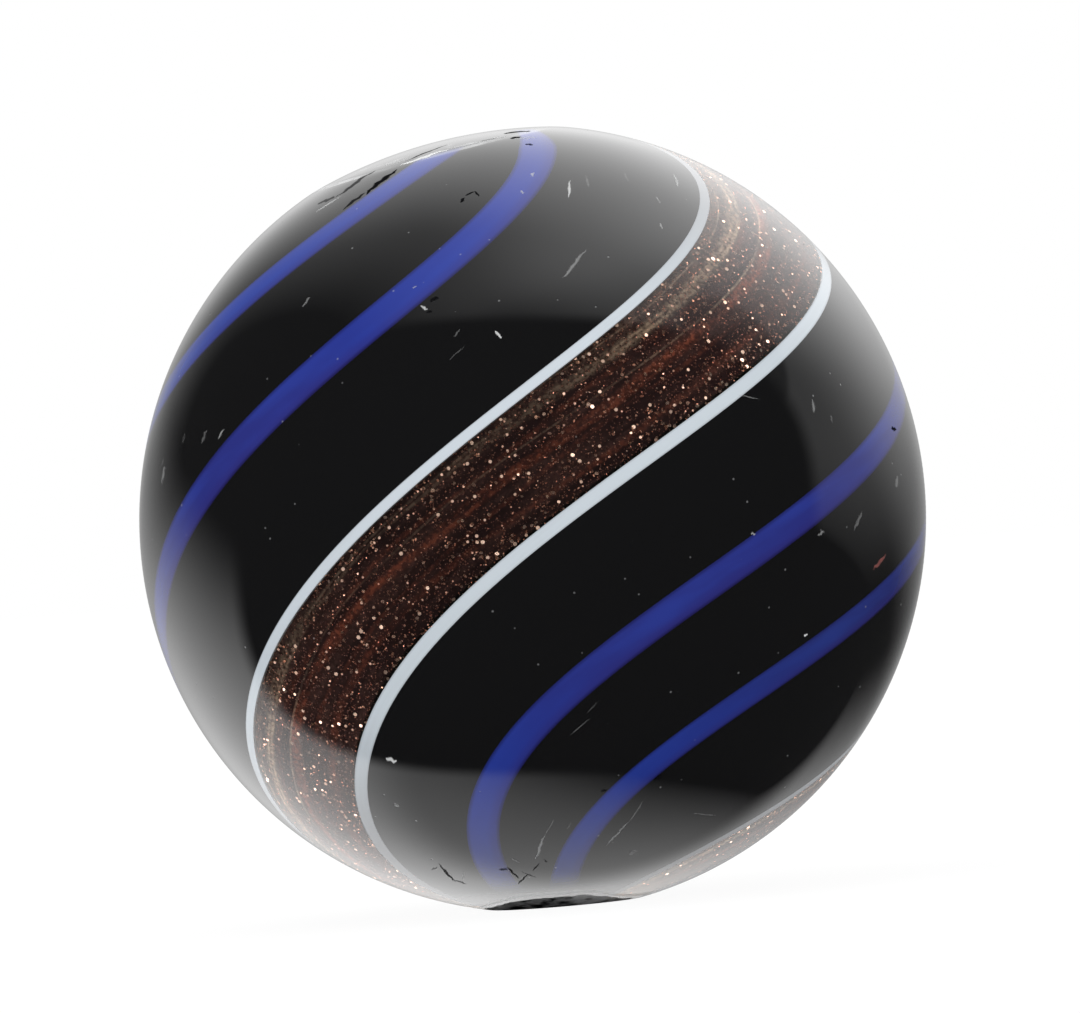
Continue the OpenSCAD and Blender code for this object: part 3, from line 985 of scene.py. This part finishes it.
def makeWorld():
    world = bpy.data.worlds.new("studio")
    bpy.context.scene.world = world
    shader = Shader(world=world)
    toward = shader.add("ShaderNodeTexCoord")
    light = 0.0
    for az, height, fadedOut, evenTo, level in studio["panels"].values():
        middle = tuple(direction(az, height))
        nearness = shader.add("ShaderNodeVectorMath", {"operation": "DOT_PRODUCT"}, {0: toward, 1: middle}, 1)
        faded, even = math.cos(math.radians(fadedOut)), math.cos(math.radians(evenTo))
        light = nearness.smooth(faded, even) * level + light
    halfway = shader.add("ShaderNodeVectorMath", {"operation": "ADD"}, {0: toward, 1: (0, -1, 0)})
    halfway = shader.add("ShaderNodeVectorMath", {"operation": "NORMALIZE"}, {0: halfway})
    roll, card = math.radians(view["roll"]), 0.0
    for axis, shift, half in (((math.cos(roll), 0, -math.sin(roll)), "cardX", "cardHalfWidth"),
                              ((math.sin(roll), 0, math.cos(roll)), "cardY", "cardHalfHeight")):
        across = shader.add("ShaderNodeVectorMath", {"operation": "DOT_PRODUCT"}, {0: halfway, 1: axis}, 1)
        card = ((across - studio[shift]) / studio[half]).size().power(studio["cardCorner"]) + card
    mirrored = card.smooth(*studio["cardEdge"]) * light.top(0.0) + studio["roomLevel"]
    isCamera = shader.add("ShaderNodeLightPath", {}, {}, "Is Camera Ray")
    isGlossy = shader.add("ShaderNodeLightPath", {}, {}, "Is Glossy Ray")
    isThrough = shader.add("ShaderNodeLightPath", {}, {}, "Is Transmission Ray")
    frontness = shader.add("ShaderNodeVectorMath", {"operation": "DOT_PRODUCT"}, {0: toward, 1: (0, -1, 0)}, 1)
    soft = studio["softLevel"] + frontness * studio["softFront"]
    through = studio["throughLevel"] + light.top(0.0) * studio["throughPanels"]
    level = isGlossy * mirrored + (1 - isGlossy) * soft
    level = isThrough * through + (1 - isThrough) * level
    level = isCamera + (1 - isCamera) * level
    background = shader.add("ShaderNodeBackground", {}, {"Color": (1, 1, 1, 1), "Strength": level})
    shader.add("ShaderNodeOutputWorld", {}, {"Surface": background})


def makeLamp():
    lamp = bpy.data.lights.new("softbox", "AREA")
    lamp.shape, lamp.size, lamp.size_y, lamp.energy = "RECTANGLE", 0.3, 0.3, 0.5
    softbox = bpy.data.objects.new("softbox", lamp)
    softbox.location = (-0.08, -0.1, 0.4)
    softbox.rotation_euler = (Vector(centre) - softbox.location).to_track_quat("-Z", "Y").to_euler()
    softbox.visible_glossy = softbox.visible_transmission = False
    bpy.context.scene.collection.objects.link(softbox)


def makeCamera():
    camera = bpy.data.cameras.new("photo")
    distance = view["distance"] * marble["radius"]
    focalPixels = view["ballPixels"] * math.sqrt(view["distance"] ** 2 - 1)
    camera.sensor_width = view["sensor"]
    camera.sensor_fit = "HORIZONTAL"
    camera.lens = view["sensor"] * focalPixels / view["photoWidth"]
    camera.shift_x = (view["photoWidth"] / 2 - view["ballX"]) / view["photoWidth"]
    camera.shift_y = (view["ballY"] - view["photoHeight"] / 2) / view["photoWidth"]
    holder = bpy.data.objects.new("photo", camera)
    holder.location = (0, -distance, footDepth)
    holder.rotation_euler = (math.radians(90), math.radians(view["roll"]), 0)
    bpy.context.scene.collection.objects.link(holder)
    bpy.context.scene.camera = holder


makeFloor()
makeWorld()
makeLamp()
makeCamera()
bpy.context.scene.view_settings.view_transform = "Standard"
print("studio and camera made")
